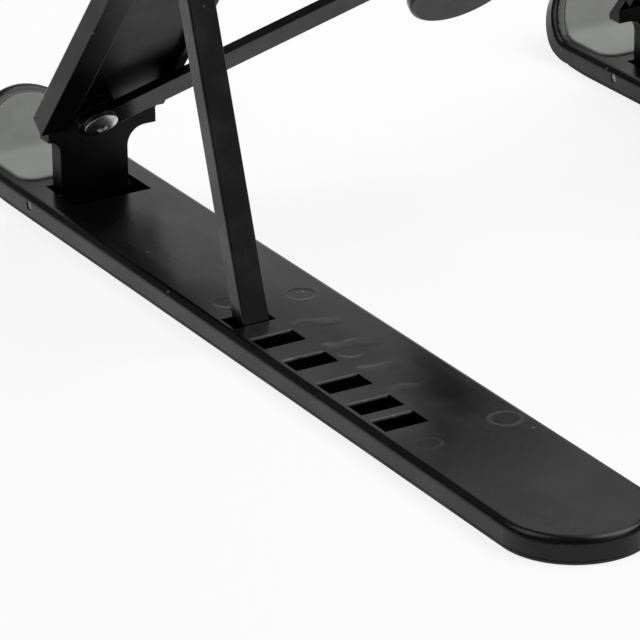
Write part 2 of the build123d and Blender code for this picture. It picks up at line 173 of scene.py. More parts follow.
class Graph:
    """Shader nodes of one material or of the world."""

    BEVEL_SAMPLES = 6
    SPECK_CORE = 0.5
    SPECK_CUT = 0.001
    CUT_MATCH = (0.93, 0.985)
    CUT_FACING = (0.3, 0.6)

    def __init__(self, tree: bpy.types.NodeTree) -> None:
        """Start from an empty tree.

        Args:
            tree: the node tree to fill.
        """
        self.tree = tree
        tree.nodes.clear()

    def add(
        self, kind: str, settings: dict | None = None, inputs: dict | None = None, output: object = 0,
    ) -> Value | None:
        """Add one node, set it and join it.

        Args:
            kind: node type.
            settings: the node's properties, set first.
            inputs: values or links of its sockets, by name or number.
            output: the output wanted, by name or number.
        Returns:
            That output, or None for a node with no outputs.
        """
        node = self.tree.nodes.new(kind)
        for name, value in (settings or {}).items():
            setattr(node, name, value)
        for name, value in (inputs or {}).items():
            if isinstance(value, Value):
                self.tree.links.new(value.socket, node.inputs[name])
            else:
                node.inputs[name].default_value = value
        return Value(self, node.outputs[output]) if len(node.outputs) else None

    def place(self) -> Value:
        """Object coordinates, which are the stand's own frame in metres."""
        return self.add("ShaderNodeTexCoord", output="Object")

    def axes(self, vector: Value) -> tuple[Value, Value, Value]:
        """X, Y and Z of a vector.

        Args:
            vector: the vector to split.
        Returns:
            Its three parts.
        """
        split = self.add("ShaderNodeSeparateXYZ", inputs={"Vector": vector})
        return tuple(Value(self, output) for output in split.socket.node.outputs)

    def noise(self, vector: Value, size: float, detail: float = 2.0, stretch: Triple = (1, 1, 1)) -> Value:
        """Soft noise.

        Args:
            vector: coordinates in metres.
            size: width of a blot in metres.
            detail: octaves.
            stretch: how many times longer a blot is along each axis.
        Returns:
            Noise from 0 to 1.
        """
        scale = tuple(1 / (size * factor) for factor in stretch)
        moved = self.add("ShaderNodeMapping", inputs={"Vector": vector, "Scale": scale})
        return self.add("ShaderNodeTexNoise", inputs={"Vector": moved, "Scale": 1.0, "Detail": detail})

    def specks(self, vector: Value, pitch: float, radius: float, share: float) -> Value:
        """Mask of scattered round specks.

        Args:
            vector: coordinates in metres.
            pitch: mean distance between cells in metres.
            radius: radius of a speck in metres.
            share: share of the cells that hold a speck.
        Returns:
            Mask, 1 on a speck.
        """
        spots = {"Vector": vector, "Scale": 1 / pitch}
        near = self.add("ShaderNodeTexVoronoi", inputs=spots)
        chance = self.axes(self.add("ShaderNodeTexVoronoi", inputs=spots, output="Color"))[0]
        dot = near.step(self.SPECK_CORE * radius / pitch, radius / pitch, 1.0, 0.0)
        return dot * chance.step(1 - share, 1 + self.SPECK_CUT - share)

    def tint(self, mask: Value, base: object, top: object) -> Value:
        """Mix of two colours.

        Args:
            mask: share of the second colour.
            base: first colour.
            top: second colour.
        Returns:
            The mixed colour.
        """
        return self.add("ShaderNodeMix", {"data_type": "RGBA"}, {0: mask, 6: base, 7: top}, 2)

    def soft_edge(self, radius: object) -> Value:
        """Normal that rounds sharp edges.

        Args:
            radius: radius of the rounding in metres, a number or a value.
        Returns:
            The rounded normal.
        """
        return self.add("ShaderNodeBevel", {"samples": self.BEVEL_SAMPLES}, {"Radius": radius})

    def blend(self, operation: str, first: Value, second: object = (0.0, 0.0, 0.0)) -> Value:
        """One Vector Math node.

        Args:
            operation: the node's operation.
            first: first vector.
            second: second vector.
        Returns:
            The resulting vector.
        """
        return self.add("ShaderNodeVectorMath", {"operation": operation}, {0: first, 1: second})

    def dot(self, first: Value, second: object) -> Value:
        """Dot product of two vectors.

        Args:
            first: first vector.
            second: second vector, a value or three numbers.
        Returns:
            The product, a number.
        """
        return self.add("ShaderNodeVectorMath", {"operation": "DOT_PRODUCT"}, {0: first, 1: second}, "Value")

    def chamfer(self, radius: object, toward: Triple | None = None) -> tuple[Value, Value]:
        """Normal that cuts sharp edges flat, half way between their two faces.

        The rounded normal leans from the true one towards the other face of an edge; the unit lean added to
        the true normal gives the cut, which is used wherever the two normals part.

        Args:
            radius: width of the cut on each face in metres, a number or a value.
            toward: direction in the object's own frame that the cut edges face, or None for all edges.
        Returns:
            The normal and the mask of the cut edges.
        """
        true = self.add("ShaderNodeNewGeometry", output="Normal")
        rounded = self.soft_edge(radius)
        match = self.dot(rounded, true)
        along = self.add("ShaderNodeVectorMath", {"operation": "SCALE"}, {0: true, "Scale": match})
        lean = self.blend("NORMALIZE", self.blend("SUBTRACT", rounded, along))
        cut = self.blend("NORMALIZE", self.blend("ADD", true, lean))
        edge = match.step(*self.CUT_MATCH, 1.0, 0.0)
        if toward is not None:
            turn = {"vector_type": "NORMAL", "convert_from": "WORLD", "convert_to": "OBJECT"}
            own = self.add("ShaderNodeVectorTransform", turn, {"Vector": cut})
            edge = edge * self.dot(own, toward).step(*self.CUT_FACING)
        return self.add("ShaderNodeMix", {"data_type": "VECTOR"}, {0: edge, 4: true, 5: cut}, 1), edge

    def bump(self, height: Value, depth: float, normal: Value | None = None) -> Value:
        """Normal tilted by a height.

        Args:
            height: height from 0 to 1.
            depth: what 1 stands for in metres.
            normal: normal to start from.
        Returns:
            The tilted normal.
        """
        links = {"Height": height, "Distance": depth, "Strength": 1.0}
        if normal is not None:
            links["Normal"] = normal
        return self.add("ShaderNodeBump", inputs=links)

    def surface(self, inputs: dict) -> None:
        """Close a material with a Principled shader.

        Args:
            inputs: values or links of the shader's sockets.
        """
        shader = self.add("ShaderNodeBsdfPrincipled", inputs=inputs)
        self.add("ShaderNodeOutputMaterial", inputs={"Surface": shader})


def shade(level: float) -> Colour:
    """Neutral linear colour.

    Args:
        level: its red, green and blue.
    Returns:
        The colour.
    """
    return (level, level, level, 1.0)


def rail_place(graph: Graph, place: Value) -> tuple[Value, Value]:
    """Place on a rail in millimetres.

    Args:
        graph: the graph to add to.
        place: object coordinates.
    Returns:
        Outward distance from the rail's middle line, and Y.
    """
    x, y, _ = graph.axes(place)
    return abs(x) * (1 / MM) - SIDE_CENTRE, y * (1 / MM)


class Finish:
    """A surface finish that builds its own material once."""

    title: str

    def wire(self, graph: Graph) -> None:
        """Add the finish's nodes.

        Args:
            graph: the graph to add to.
        """
        raise NotImplementedError

    def material(self) -> bpy.types.Material:
        """The finish's material, made at its first use."""
        found = bpy.data.materials.get(self.title)
        if found is None:
            found = bpy.data.materials.new(self.title)
            found.use_nodes = True
            self.wire(Graph(found.node_tree))
        return found


@dataclass(frozen=True)
class MouldMark:
    """Round mark that an ejector leaves on a rail; places and bands about its rim in millimetres."""

    across: float
    along: float
    radius: float
    ring: float
    sink: float
    matt: float = 0.0
    ring_band: Pair = (0.12, 0.5)
    sink_band: Pair = (-0.9, 0.2)
    matt_band: Pair = (-0.9, -0.3)

    def masks(self, across: Value, along: Value) -> tuple[Value, Value, Value]:
        """The distance past the mark's rim, stepped to a thin ring, a sunk disc and a matt disc.

        Args:
            across: place across the rail.
            along: place along it.
        Returns:
            Mask of the ring, height of the sunk disc and mask of the matt disc.
        """
        past = ((across - self.across) ** 2 + (along - self.along) ** 2) ** 0.5 - self.radius
        ring = abs(past).step(*self.ring_band, self.ring, 0.0)
        sunk = past.step(*self.sink_band, self.sink, 0.0)
        return ring, sunk, past.step(*self.matt_band, self.matt, 0.0)


@dataclass(frozen=True)
class FlowMarks:
    """Swooshes of the melt past the inner ends of a rail's slots; places and bands in millimetres."""

    slots: tuple[float, ...]
    lag: float = 1.6
    band: Pair = (0.2, 2.4)
    sway: float = 5.0
    sway_size: float = 0.006
    slant: float = 0.15
    begin: Pair = (-9.0, -1.0)
    end: Pair = (1.6, 3.0)
    patch: float = 0.009
    patch_band: Pair = (0.3, 0.65)
    faint: float = 0.2
    pale: float = 0.011
    rough: float = 0.06
    depth: float = 0.00009

    def mask(self, graph: Graph, place: Value) -> Value:
        """Soft bars across the rail, one for each slot, bent and broken up by noises.

        Args:
            graph: the graph to add to.
            place: object coordinates.
        Returns:
            Mask of the swooshes.
        """
        across, y = rail_place(graph, place)
        along = y + graph.noise(place, self.sway_size) * self.sway + across * self.slant
        reach = across.step(*self.begin) * across.step(*self.end, 1.0, 0.0)
        bars = along * 0.0
        for slot in self.slots:
            bars = bars.at_least(abs(along - slot - self.lag).step(*self.band, 1.0, 0.0))
        return bars * reach * graph.noise(place, self.patch, 3.0).step(*self.patch_band, self.faint, 1.0)


@dataclass(frozen=True)
class MouldedPlastic(Finish):
    """Satin black moulded plastic with sink waves, smudges, flow marks, dust, paled edges and ejector marks.

    Lengths are in metres. Streaks and grease are given as times the size of a smudge. The paled edges are
    wear in patches; where only edges facing one way get them, as on the rail, they are also a painted
    highlight.
    """

    title: str
    tone: float = 0.0022
    bloom: float = 0.004
    rough_low: float = 0.2
    rough_high: float = 0.34
    specular: float = 0.3
    sheen: float = 0.24
    sheen_rough: float = 0.3
    grain: float = 0.00045
    grain_depth: float = 0.000004
    wave: float = 0.03
    wave_depth: float = 0.00012
    smudge: float = 0.016
    streak: float = 0.25
    streak_share: float = 0.3
    grease: float = 0.6
    edge: float = 0.00028
    top_edge: float = 0.0
    edges_face: Triple | None = None
    # Pale tone on edges in patches: wear, and a painted highlight where edges_face keeps only the edges
    # facing one way.
    wear: float = 0.05
    wear_patch: float = 0.0022
    dust_tone: float = 0.2
    dust_pitch: float = 0.006
    dust_radius: float = 0.00032
    dust_share: float = 0.65
    flow: FlowMarks | None = None
    marks: tuple[MouldMark, ...] = ()
    mark_pale: float = 0.02
    mark_rough: float = 0.12
    mark_depth: float = 0.00006
    matt_rough: float = 0.25

    SMUDGE_BAND = (0.35, 0.68)
    BLOOM_BAND = (0.45, 0.75)
    GREASE_BAND = (0.38, 0.66)
    WEAR_BAND = (0.52, 0.7)
    TOP_BAND = (0.0036, 0.004)
    SMUDGE_STRETCH = (1, 2.2, 1)
    STREAK_STRETCH = (1, 5, 1)
    GREASE_STRETCH = (1, 1.4, 1)
    WAVE_STRETCH = (1, 1.6, 1)

    def ejector_marks(self, graph: Graph, place: Value) -> tuple[Value, Value, Value]:
        """All ejector marks together, the strongest at each place.

        Args:
            graph: the graph to add to.
            place: object coordinates.
        Returns:
            Mask of the rings, height of the sunk discs and mask of the matt discs.
        """
        across, along = rail_place(graph, place)
        rings = discs = matt = along * 0.0
        for mark in self.marks:
            ring, sunk, dull = mark.masks(across, along)
            rings, discs, matt = rings.at_least(ring), discs.at_least(sunk), matt.at_least(dull)
        return rings, discs, matt

    def wire(self, graph: Graph) -> None:
        """Add the plastic's nodes to a graph."""
        place = graph.place()
        smudge = graph.noise(place, self.smudge, 4.0, self.SMUDGE_STRETCH)
        streak = graph.noise(place, self.streak * self.smudge, 3.0, self.STREAK_STRETCH)
        cloud = smudge * (1 - self.streak_share) + streak * self.streak_share
        rough = cloud.step(*self.SMUDGE_BAND, self.rough_low, self.rough_high)
        grease = graph.noise(place, self.grease * self.smudge, 5.0, self.GREASE_STRETCH)
        coat = grease.step(*self.GREASE_BAND, 0.0, self.sheen)
        if self.top_edge:
            upper = graph.axes(place)[2].step(*self.TOP_BAND)
            cut, edges = graph.chamfer(upper * self.top_edge + self.edge, self.edges_face)
            coat = coat.at_least(edges * upper)
        else:
            cut, edges = graph.chamfer(self.edge, self.edges_face)
        # Edges paled in patches: wear on every edge, and a painted highlight where only the edges facing
        # edges_face get it.
        pale_edges = edges * graph.noise(place, self.wear_patch, 4.0).step(*self.WEAR_BAND)
        pale = cloud.step(*self.BLOOM_BAND, 0.0, self.bloom) + pale_edges * self.wear
        normal = graph.bump(graph.noise(place, self.wave, 1.0, self.WAVE_STRETCH), self.wave_depth, cut)
        normal = graph.bump(graph.noise(place, self.grain), self.grain_depth, normal)
        if self.flow:
            swoosh = self.flow.mask(graph, place)
            rough = rough + swoosh * self.flow.rough
            pale = pale + swoosh * self.flow.pale
            normal = graph.bump(swoosh, self.flow.depth, normal)
        if self.marks:
            rings, discs, matt = self.ejector_marks(graph, place)
            rough = rough + rings * self.mark_rough + matt * self.matt_rough
            pale = pale + rings * self.mark_pale
            normal = graph.bump(rings - discs, self.mark_depth, normal)
        dust = graph.specks(place, self.dust_pitch, self.dust_radius, self.dust_share)
        skin = graph.tint(pale, shade(self.tone), shade(1.0))
        graph.surface({
            "Base Color": graph.tint(dust, skin, shade(self.dust_tone)),
            "Roughness": rough,
            "Specular IOR Level": self.specular,
            "Coat Weight": coat,
            "Coat Roughness": self.sheen_rough,
            "Normal": normal,
        })


@dataclass(frozen=True)
class SiliconePad(Finish):
    """Matt grey silicone with grain, lint and worn patches, painted paler where it lies flat as painted
    light, which leaves the rising part darker; metres.
    """

    title: str = "grey_silicone_pad"
    low: Colour = (0.2, 0.206, 0.195, 1.0)
    high: Colour = (0.246, 0.2535, 0.24, 1.0)
    # Painted light: the colour of the pad where it lies flat, paler than up the tongue as if the flat part
    # were lit more.
    pressed: Colour = (0.295, 0.304, 0.289, 1.0)
    pressed_share: float = 0.55
    pressed_band: Pair = (0.0058, 0.0068)
    rough: Pair = (0.62, 0.78)
    specular: float = 0.3
    patch: float = 0.007
    patch_depth: float = 0.00005
    grain: float = 0.0004
    grain_depth: float = 0.00002
    lint_tone: float = 0.5
    lint_pitch: float = 0.006
    lint_radius: float = 0.00016
    lint_cells: float = 0.2
    lint_share: float = 0.6

    def wire(self, graph: Graph) -> None:
        """Add the silicone's nodes to a graph."""
        place = graph.place()
        cloud = graph.noise(place, self.patch, 4.0)
        # Painted light: low in Z, where the pad lies flat, its tone is mixed towards the paler colour.
        flat = graph.axes(place)[2].step(*self.pressed_band, self.pressed_share, 0.0)
        tone = graph.tint(flat, graph.tint(cloud.step(*NOISE_BAND), self.low, self.high), self.pressed)
        lint = graph.specks(place, self.lint_pitch, self.lint_radius, self.lint_cells) * self.lint_share
        normal = graph.bump(cloud, self.patch_depth)
        graph.surface({
            "Base Color": graph.tint(lint, tone, shade(self.lint_tone)),
            "Roughness": cloud.step(*NOISE_BAND, *self.rough),
            "Specular IOR Level": self.specular,
            "Normal": graph.bump(graph.noise(place, self.grain), self.grain_depth, normal),
        })


@dataclass(frozen=True)
class FootRubber(Finish):
    """Dark rubber, dull and slightly dusty; metres."""

    title: str = "foot_strip_rubber"
    tone: float = 0.007
    dust: float = 0.04
    dust_share: float = 0.6
    dust_band: Pair = (0.5, 0.8)
    rough: Pair = (0.42, 0.6)
    specular: float = 0.36
    patch: float = 0.004
    patch_stretch: Triple = (1, 3, 1)
    grain: float = 0.0005
    grain_depth: float = 0.00001

    def wire(self, graph: Graph) -> None:
        """Add the rubber's nodes to a graph."""
        place = graph.place()
        cloud = graph.noise(place, self.patch, 4.0, self.patch_stretch)
        dust = cloud.step(*self.dust_band, 0.0, self.dust_share)
        graph.surface({
            "Base Color": graph.tint(dust, shade(self.tone), shade(self.dust)),
            "Roughness": cloud.step(*NOISE_BAND, *self.rough),
            "Specular IOR Level": self.specular,
            "Normal": graph.bump(graph.noise(place, self.grain), self.grain_depth),
        })


@dataclass(frozen=True)
class SlidePlastic(Finish):
    """Waxy dark grey plastic of the sliding shoes; metres."""

    title: str = "slide_shoe_plastic"
    tone: float = 0.02
    bloom: float = 0.02
    bloom_band: Pair = (0.4, 0.8)
    rough: Pair = (0.34, 0.5)
    specular: float = 0.35
    patch: float = 0.003
    grain: float = 0.0004
    grain_depth: float = 0.000008
    edge: float = 0.0002

    def wire(self, graph: Graph) -> None:
        """Add the shoe plastic's nodes to a graph."""
        place = graph.place()
        cloud = graph.noise(place, self.patch, 3.0)
        pale = cloud.step(*self.bloom_band, 0.0, self.bloom)
        grain = graph.noise(place, self.grain)
        graph.surface({
            "Base Color": graph.tint(pale, shade(self.tone), shade(1.0)),
            "Roughness": cloud.step(*NOISE_BAND, *self.rough),
            "Specular IOR Level": self.specular,
            "Normal": graph.bump(grain, self.grain_depth, graph.soft_edge(self.edge)),
        })


@dataclass(frozen=True)
class BrightSteel(Finish):
    """Plated steel with fine scratches and darker handling marks; metres."""

    title: str = "rivet_steel"
    low: Colour = (0.46, 0.46, 0.47, 1.0)
    high: Colour = (0.64, 0.64, 0.65, 1.0)
    rough: Pair = (0.26, 0.4)
    patch: float = 0.0016
    scratch: float = 0.00025
    scratch_stretch: Triple = (6, 1, 1)
    scratch_depth: float = 0.000006
    edge: float = 0.00015

    def wire(self, graph: Graph) -> None:
        """Add the steel's nodes to a graph."""
        place = graph.place()
        cloud = graph.noise(place, self.patch, 4.0)
        scratch = graph.noise(place, self.scratch, 2.0, self.scratch_stretch)
        graph.surface({
            "Base Color": graph.tint(cloud.step(*NOISE_BAND), self.low, self.high),
            "Metallic": 1.0,
            "Roughness": scratch.step(*NOISE_BAND, *self.rough),
            "Normal": graph.bump(scratch, self.scratch_depth, graph.soft_edge(self.edge)),
        })


RAIL_MARKS = (
    MouldMark(-8.7, 63.5, 3.0, 1.0, 1.0, 1.0),
    MouldMark(7.9, 65.2, 2.4, 0.15, 0.8),
    MouldMark(-0.5, 23.7, 2.6, 0.1, 1.0),
    MouldMark(-6.7, -4.7, 3.0, 0.15, 1.0),
    MouldMark(7.4, -8.6, 2.6, 0.1, 0.6),
    MouldMark(-8.7, 95.0, 2.6, 0.05, 0.4),
)
RAIL_FLOW = FlowMarks((9.08, 20.78, 32.78, 43.68, 51.88))
# On the rail only edges facing +Y are paled: wear in patches, and a painted highlight on the rear-facing
# edges that catch the key lamp.
RAIL_FINISH = MouldedPlastic(
    "rail_plastic", specular=0.23, sheen=0.1, wave_depth=0.00016, edge=0.0003, top_edge=0.0006,
    edges_face=(0.0, 1.0, 0.0), wear=0.12, flow=RAIL_FLOW, marks=RAIL_MARKS,
)
ARM_FINISH = MouldedPlastic(
    "arm_plastic", rough_low=0.28, rough_high=0.42, specular=0.12, sheen=0.08, smudge=0.024,
)
PROP_FINISH = MouldedPlastic("prop_plastic", wave_depth=0.00006, smudge=0.01)
LINK_FINISH = MouldedPlastic("link_plastic", specular=0.12, sheen=0.08, wave_depth=0.00006, smudge=0.012)
PAD_FINISH = SiliconePad()
FOOT_FINISH = FootRubber()
SHOE_FINISH = SlidePlastic()
STEEL_FINISH = BrightSteel()
# Painted shade: the hinge pin gets a far darker steel than the rivets, so that its ends read dark in the
# shaded window of the rail.
SHADE_DARK_PIN_FINISH = BrightSteel("hinge_pin_steel", (0.13, 0.13, 0.135, 1.0), (0.22, 0.22, 0.225, 1.0))


def resample(points: np.ndarray, count: int) -> np.ndarray:
    """Points at even steps along a closed line.

    Args:
        points: corners of the line, shape (n, 2).
        count: points wanted.
    Returns:
        Points, shape (count, 2), found by interpolating along the running length.
    """
    ring = np.vstack([points, points[:1]])
    run = np.concatenate([[0.0], np.cumsum(np.linalg.norm(np.diff(ring, axis=0), axis=1))])
    at = np.arange(count) * run[-1] / count
    return np.stack([np.interp(at, run, ring[:, axis]) for axis in (0, 1)], axis=1)


def inward(points: np.ndarray) -> np.ndarray:
    """Unit normals that point inside a closed counter-clockwise line: its tangent turned left.

    Args:
        points: points of the line, shape (n, 2).
    Returns:
        Normals, shape (n, 2).
    """
    tangent = np.roll(points, -1, axis=0) - np.roll(points, 1, axis=0)
    tangent /= np.linalg.norm(tangent, axis=1, keepdims=True)
    return np.stack([-tangent[:, 1], tangent[:, 0]], axis=1)


def arc(centre: Pair, radii: Pair, start: float, end: float, count: int = 40) -> np.ndarray:
    """Part of an ellipse: the centre plus the radii times cosine and sine of the angle.

    Args:
        centre: middle of the ellipse.
        radii: half widths along the two axes.
        start: first angle in degrees.
        end: last angle in degrees.
        count: points.
    Returns:
        Points, shape (count, 2).
    """
    angle = np.radians(np.linspace(start, end, count))
    return np.asarray(centre) + np.asarray(radii) * np.stack([np.cos(angle), np.sin(angle)], axis=1)


def strip_outline(
    half: float, start: float, corner: float, middle: float, run: float, count: int,
) -> np.ndarray:
    """Closed outline of a strip along the second axis, with two round corners and a half-ellipse end.

    Args:
        half: half width of the strip.
        start: place of its cornered end.
        corner: radius of the corners.
        middle: place of the half ellipse's centre.
        run: reach of the half ellipse past its centre.
        count: points of the half ellipse.
    Returns:
        Points, counter-clockwise, shape (n, 2).
    """
    near = start + corner
    return np.concatenate([
        arc((0, middle), (half, run), 0, 180, count),
        arc((corner - half, near), (corner, corner), 180, 270),
        arc((half - corner, near), (corner, corner), 270, 360),
    ])


def slab_rings(
    outline: np.ndarray, spine: Pair, rim: np.ndarray, crown: float, rows: int = 14,
) -> np.ndarray:
    """Rings of a soft slab: a rim profile carried round an outline, closed over a spine.

    Each rim point moves the outline inwards by its inset and lifts it to its height. Past the rim's two
    ends the rings shrink in even steps to the nearest point of a spine along the second axis, and the
    upper face rises over it by the crown times one minus the square of what is left.

    Args:
        outline: closed counter-clockwise line, shape (n, 2).
        spine: ends of the spine along the second axis, at zero on the first.
        rim: insets and heights from the lower face to the upper, shape (k, 2).
        crown: rise of the upper face over its middle.
        rows: rings on each face.
    Returns:
        Rings, shape (rings, n, 3).
    """
    normal = inward(outline)
    flat = outline[None] + rim[:, :1, None] * normal[None]
    wall = np.dstack([flat, np.broadcast_to(rim[:, 1:2], flat.shape[:2])])
    middle = np.stack([0 * outline[:, 0], np.clip(outline[:, 1], *spine)], axis=1)
    left = np.linspace(1, 0, rows + 1)[1:, None, None]

    def face(edge: np.ndarray, rise: float) -> np.ndarray:
        """Rings from one edge to the spine."""
        plan = middle[None] + left * (edge[None, :, :2] - middle[None])
        height = np.broadcast_to(edge[0, 2] + rise * (1 - left[..., 0] ** 2), plan.shape[:2])
        return np.dstack([plan, height])

    return np.concatenate([face(wall[0], 0.0)[::-1], wall, face(wall[-1], crown)])


def round_rim(low: float, high: float, radius: float, foot: float, count: int = 7) -> np.ndarray:
    """Rim profile: a straight wall with a small round below and a larger one above.

    Args:
        low: height of the lower face.
        high: height of the upper face.
        radius: radius of the upper round.
        foot: radius of the lower round.
        count: points of each round.
    Returns:
        Insets and heights, shape (2 * count, 2).
    """
    turn = np.radians(np.linspace(0, 90, count))
    under = np.stack([foot * (1 - np.sin(turn)), low + foot * (1 - np.cos(turn))], axis=1)
    over = np.stack([radius * (1 - np.cos(turn)), high - radius * (1 - np.sin(turn))], axis=1)
    return np.concatenate([under, over])


@dataclass(frozen=True)
class PadShape:
    """Corner and rim that all the grey pads share; millimetres over the skin that they lie on."""

    corner: float = 3.85
    low: float = -0.68
    high: float = 0.5
    rounding: float = 0.42
    foot: float = 0.1
    points: int = 260

    def rings(self, outline: np.ndarray, spine: Pair, crown: float) -> np.ndarray:
        """Rings of a pad.

        Args:
            outline: closed counter-clockwise line, shape (n, 2).
            spine: ends of the pad's spine along the second axis.
            crown: rise of the upper face over its middle.
        Returns:
            Rings, shape (rings, points, 3).
        """
        rim = round_rim(self.low, self.high, self.rounding, self.foot)
        return slab_rings(resample(outline, self.points), spine, rim, crown)


PAD_SHAPE = PadShape()


def ring_mesh(name: str, rings: np.ndarray, finish: Finish) -> bpy.types.Object:
    """Object from closed rings: quads join each ring to the next, and equal points merge at the spine.

    Args:
        name: object name.
        rings: points in millimetres, shape (rings, n, 3).
        finish: surface finish.
    Returns:
        The object, at the origin, in metres.
    """
    rows, count, _ = rings.shape
    index = np.arange(rows * count).reshape(rows, count)
    after = np.roll(index, -1, axis=1)
    quads = np.stack([index[:-1], after[:-1], after[1:], index[1:]], axis=-1).reshape(-1, 4)
    mesh = bpy.data.meshes.new(name)
    mesh.from_pydata((rings.reshape(-1, 3) * MM).tolist(), [], quads.tolist())
    shape = bmesh.new()
    shape.from_mesh(mesh)
    bmesh.ops.remove_doubles(shape, verts=shape.verts, dist=1e-7)
    bmesh.ops.dissolve_degenerate(shape, edges=shape.edges, dist=1e-8)
    bmesh.ops.recalc_face_normals(shape, faces=shape.faces)
    shape.to_mesh(mesh)
    shape.free()
    mesh.shade_smooth()
    mesh.materials.append(finish.material())
    piece = bpy.data.objects.new(name, mesh)
    bpy.context.scene.collection.objects.link(piece)
    return piece


def dress(node: str, finish: Finish) -> None:
    """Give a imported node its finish.

    Args:
        node: name of the node.
        finish: surface finish.
    """
    solid = frame["nodes"][node]
    if not solid.material_slots:
        solid.data.materials.append(finish.material())
    for slot in solid.material_slots:
        slot.material = finish.material()
    log.info("dressed %s in %s", node, finish.title)


def stand_in(piece: bpy.types.Object, node: str, body: str) -> None:
    """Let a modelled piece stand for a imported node.

    Args:
        piece: the modelled piece.
        node: node that it replaces.
        body: body that it rides on.
    """
    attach(piece, body)
    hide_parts(node)
    log.info("%s stands for %s: %d faces", piece.name, node, len(piece.data.polygons))


@dataclass
class BaseRail:
    """A rail with its bent-up tongue, front pad, rubber foot strip and hinge pin; millimetres."""

    side: Side
    rear: float = 112.28
    top: float = 5.0
    bend_y: float = -96.05
    bend_radius: float = 6.0
    tongue_angle: float = 48.0
    pad_rear: float = -83.97
    pad_half_width: float = 11.45
    pad_length: float = 27.48
    pad_end_run: float = 14.25
    pad_end_points: int = 160
    pad_crown: float = 0.06
    foot_inset: float = 0.05
    foot_corner: float = 1.2
    foot_high: float = 0.8
    foot_round: float = 0.25
    foot_seam: float = 0.3
    foot_nose: float = 10.0
    foot_thinning: float = 0.9
    foot_end_points: int = 90
    foot_points: int = 400
    foot_rows: int = 6

    def bend(self, across: np.ndarray, run: np.ndarray, height: np.ndarray) -> np.ndarray:
        """Wrap flat points over the rail's skin and up the tongue.

        The run goes forwards from the pad's rear edge. Along the flat the point sits its height above the
        skin; in the bend it turns about the bend's centre by the run past the flat over the radius; beyond
        it goes on straight up the tongue.

        Args:
            across: place across the rail.
            run: length along the skin.
            height: height over the skin.
        Returns:
            Points, with the last axis X, Y and Z.
        """
        flat = self.pad_rear - self.bend_y
        turn = np.radians(self.tongue_angle)
        angle = np.clip((run - flat) / self.bend_radius, 0, turn)
        beyond = np.maximum(run - flat - self.bend_radius * turn, 0)
        spoke = self.bend_radius - height
        y = self.bend_y + np.maximum(flat - run, 0) - spoke * np.sin(angle) - beyond * np.cos(turn)
        z = self.top + self.bend_radius - spoke * np.cos(angle) + beyond * np.sin(turn)
        return np.stack([self.side.value * SIDE_CENTRE + across, y, z], axis=-1)

    def front_pad(self) -> bpy.types.Object:
        """Grey pad: a soft slab with round rear corners and a half-round front end, wrapped over the bend.

        Returns:
            The pad.
        """
        half, length, run = self.pad_half_width, self.pad_length, self.pad_end_run
        outline = strip_outline(half, 0.0, PAD_SHAPE.corner, length - run, run, self.pad_end_points)
        rings = PAD_SHAPE.rings(outline, (half, length - half), self.pad_crown)
        bent = self.bend(rings[..., 0], rings[..., 1], rings[..., 2])
        return ring_mesh(f"{self.side.word}_front_pad_soft", bent, PAD_FINISH)

    def foot_strip(self) -> bpy.types.Object:
        """Rubber strip: a thin slab with a round rear end, flat under the rail.

        Towards the bend its lower face rises: the square of the way along the nose takes up most of what is
        left of the thickness above each point.

        Returns:
            The strip.
        """
        half = SIDE_WIDTH / 2 - self.foot_inset
        round_y = self.rear - SIDE_WIDTH / 2
        outline = strip_outline(half, self.bend_y, self.foot_corner, round_y, half, self.foot_end_points)
        rim = round_rim(0.0, self.foot_high, self.foot_seam, self.foot_round)
        spine = (self.bend_y + half, round_y)
        rings = slab_rings(resample(outline, self.foot_points), spine, rim, 0.0, self.foot_rows)
        nose = np.clip((self.bend_y + self.foot_nose - rings[..., 1]) / self.foot_nose, 0, 1)
        rings[..., 2] += self.foot_thinning * nose ** 2 * (self.foot_high - rings[..., 2])
        rings[..., 0] += self.side.value * SIDE_CENTRE
        return ring_mesh(f"{self.side.word}_foot_strip_soft", rings, FOOT_FINISH)

    def build(self) -> None:
        """Make the soft pieces and dress the rail and its pin."""
        word = self.side.word
        stand_in(self.front_pad(), f"{word}_front_pad", f"{word}_base")
        stand_in(self.foot_strip(), f"{word}_foot_strip", f"{word}_base")
        dress(f"{word}_base_rail", RAIL_FINISH)
        dress(f"{word}_hinge_pin", SHADE_DARK_PIN_FINISH)


@dataclass
class ArmUnit:
    """An arm with its grey end pad and the rivet of its link; millimetres."""

    side: Side
    hinge_y: float = -77.22
    hinge_z: float = 2.9
    angle: float = 50.0
    reach: float = 207.0
    top_w: float = 10.6
    pad_start: float = 167.15
    pad_margin: float = 2.35
    pad_end_points: int = 120
    pad_crown: float = 0.08

    def pad(self) -> bpy.types.Object:
        """Grey pad on the arm's upper end: a soft slab with a round end, laid in the arm's plane.

        Returns:
            The pad.
        """
        half = SIDE_WIDTH / 2 - self.pad_margin
        round_v = self.reach - SIDE_WIDTH / 2
        outline = strip_outline(half, self.pad_start, PAD_SHAPE.corner, round_v, half, self.pad_end_points)
        rings = PAD_SHAPE.rings(outline, (self.pad_start + half, round_v), self.pad_crown)
        cos, sin = math.cos(math.radians(self.angle)), math.sin(math.radians(self.angle))
        across, v, w = rings[..., 0], rings[..., 1], self.top_w + rings[..., 2]
        x = self.side.value * SIDE_CENTRE + across
        placed = np.stack([x, self.hinge_y + v * cos - w * sin, self.hinge_z + v * sin + w * cos], axis=-1)
        return ring_mesh(f"{self.side.word}_arm_pad_soft", placed, PAD_FINISH)

    def build(self) -> None:
        """Make the pad and dress the arm, its rivet and its strut pin."""
        word = self.side.word
        stand_in(self.pad(), f"{word}_arm_pad", f"{word}_arm_unit")
        dress(f"{word}_arm", ARM_FINISH)
        dress(f"{word}_link_rivet", STEEL_FINISH)
        dress(f"{word}_strut_pin", STEEL_FINISH)


